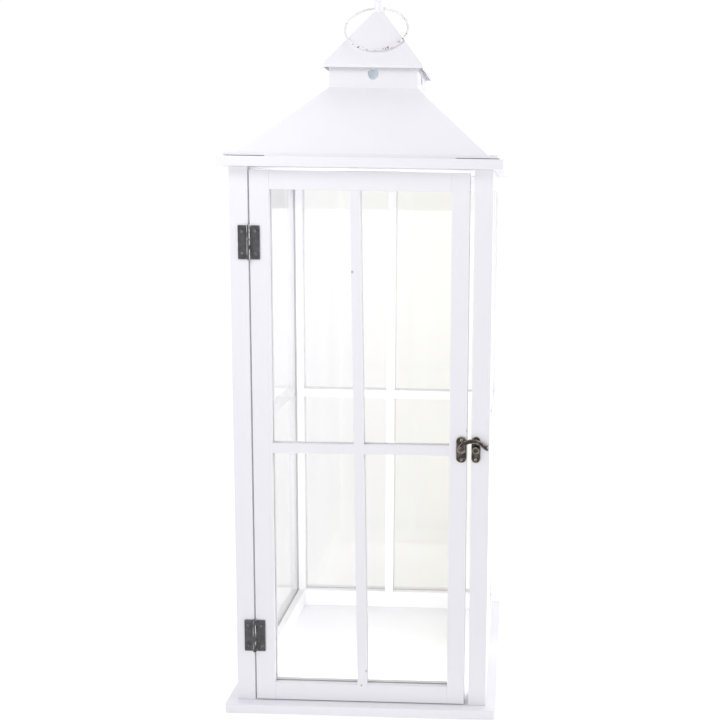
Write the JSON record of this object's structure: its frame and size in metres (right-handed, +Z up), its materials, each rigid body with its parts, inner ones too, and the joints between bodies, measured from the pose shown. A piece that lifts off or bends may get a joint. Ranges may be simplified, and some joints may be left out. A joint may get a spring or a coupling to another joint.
{
  "type": "candle lantern",
  "caption": "Square wooden candle lantern, glazed on all sides with muntin crosses, with a hinged latched door, a vented sheet-metal roof and a carrying ring.",
  "frame": {"origin": "middle of the base plate's underside", "axes": "+Z up, +X to the right of the door, -Y out through the door"},
  "size_m": [0.26, 0.26, 0.6956],
  "materials": {
    "painted_wood": "white satin paint over softwood",
    "painted_sheet_metal": "white satin paint over sheet steel",
    "ring_wire": "white paint, chipped to dark steel",
    "pane_glass": "clear float glass",
    "hinge_iron": "black antique finish, slightly worn",
    "antique_bronze": "dark antique bronze, rubbed bright on the edges",
    "plated_steel": "zinc plated"
  },
  "bodies": {
    "lantern": {"base_plate": "painted_wood", "top_plate": "painted_wood", "post_front_left": "painted_wood", "post_front_right": "painted_wood", "post_back_left": "painted_wood", "post_back_right": "painted_wood", "bottom_rail_left": "painted_wood", "top_rail_left": "painted_wood", "glass_left": "pane_glass", "muntin_left_upright_outer": "painted_wood", "muntin_left_crossbar_outer": "painted_wood", "bottom_rail_right": "painted_wood", "top_rail_right": "painted_wood", "glass_right": "pane_glass", "muntin_right_upright_outer": "painted_wood", "muntin_right_crossbar_outer": "painted_wood", "bottom_rail_back": "painted_wood", "top_rail_back": "painted_wood", "glass_back": "pane_glass", "muntin_back_upright_outer": "painted_wood", "muntin_back_upright_inner": "painted_wood", "muntin_back_crossbar_outer": "painted_wood", "muntin_back_crossbar_inner": "painted_wood", "frame_screws": "plated_steel", "hinge_upper_frame_leaf": "hinge_iron", "hinge_lower_frame_leaf": "hinge_iron", "hinge_upper_pin": "hinge_iron", "hinge_lower_pin": "hinge_iron", "hinge_frame_screws": "hinge_iron", "latch_keeper_plate": "antique_bronze", "latch_keeper_knob": "antique_bronze", "latch_keeper_nails": "antique_bronze", "roof": "painted_sheet_metal", "roof_screws": "painted_sheet_metal", "vent_collar": "painted_sheet_metal", "cap": "painted_sheet_metal", "finial": "painted_sheet_metal", "finial_nut": "plated_steel"},
    "door": {"door_stile_hinge_side": "painted_wood", "door_stile_latch_side": "painted_wood", "door_rail_bottom": "painted_wood", "door_rail_top": "painted_wood", "door_muntin_upright_outer": "painted_wood", "door_muntin_upright_inner": "painted_wood", "door_muntin_crossbar_outer": "painted_wood", "door_muntin_crossbar_inner": "painted_wood", "door_glass": "pane_glass", "hinge_upper_door_leaf": "hinge_iron", "hinge_lower_door_leaf": "hinge_iron", "hinge_door_screws": "hinge_iron", "latch_door_plate": "antique_bronze", "latch_door_nails": "antique_bronze", "latch_pivot_rivet": "antique_bronze"},
    "latch_lever": {"latch_lever": "antique_bronze"},
    "carry_ring": {"carry_ring": "ring_wire"}
  },
  "joints": [
    {"name": "door_hinge", "type": "hinge", "parent": "lantern", "child": "door", "pos_m": [-0.10225, -0.1217, 0.2625], "axis": [0, 0, -1], "range_deg": [0, 170]},
    {"name": "latch_pivot", "type": "hinge", "parent": "door", "child": "latch_lever", "pos_m": [0.0937, -0.1228, 0.262], "axis": [0, -1, 0], "range_deg": [0, 180]},
    {"name": "ring_swing", "type": "hinge", "parent": "lantern", "child": "carry_ring", "pos_m": [0, 0, 0.6813], "axis": [-1, 0, 0], "range_deg": [0, 278]}
  ]
}
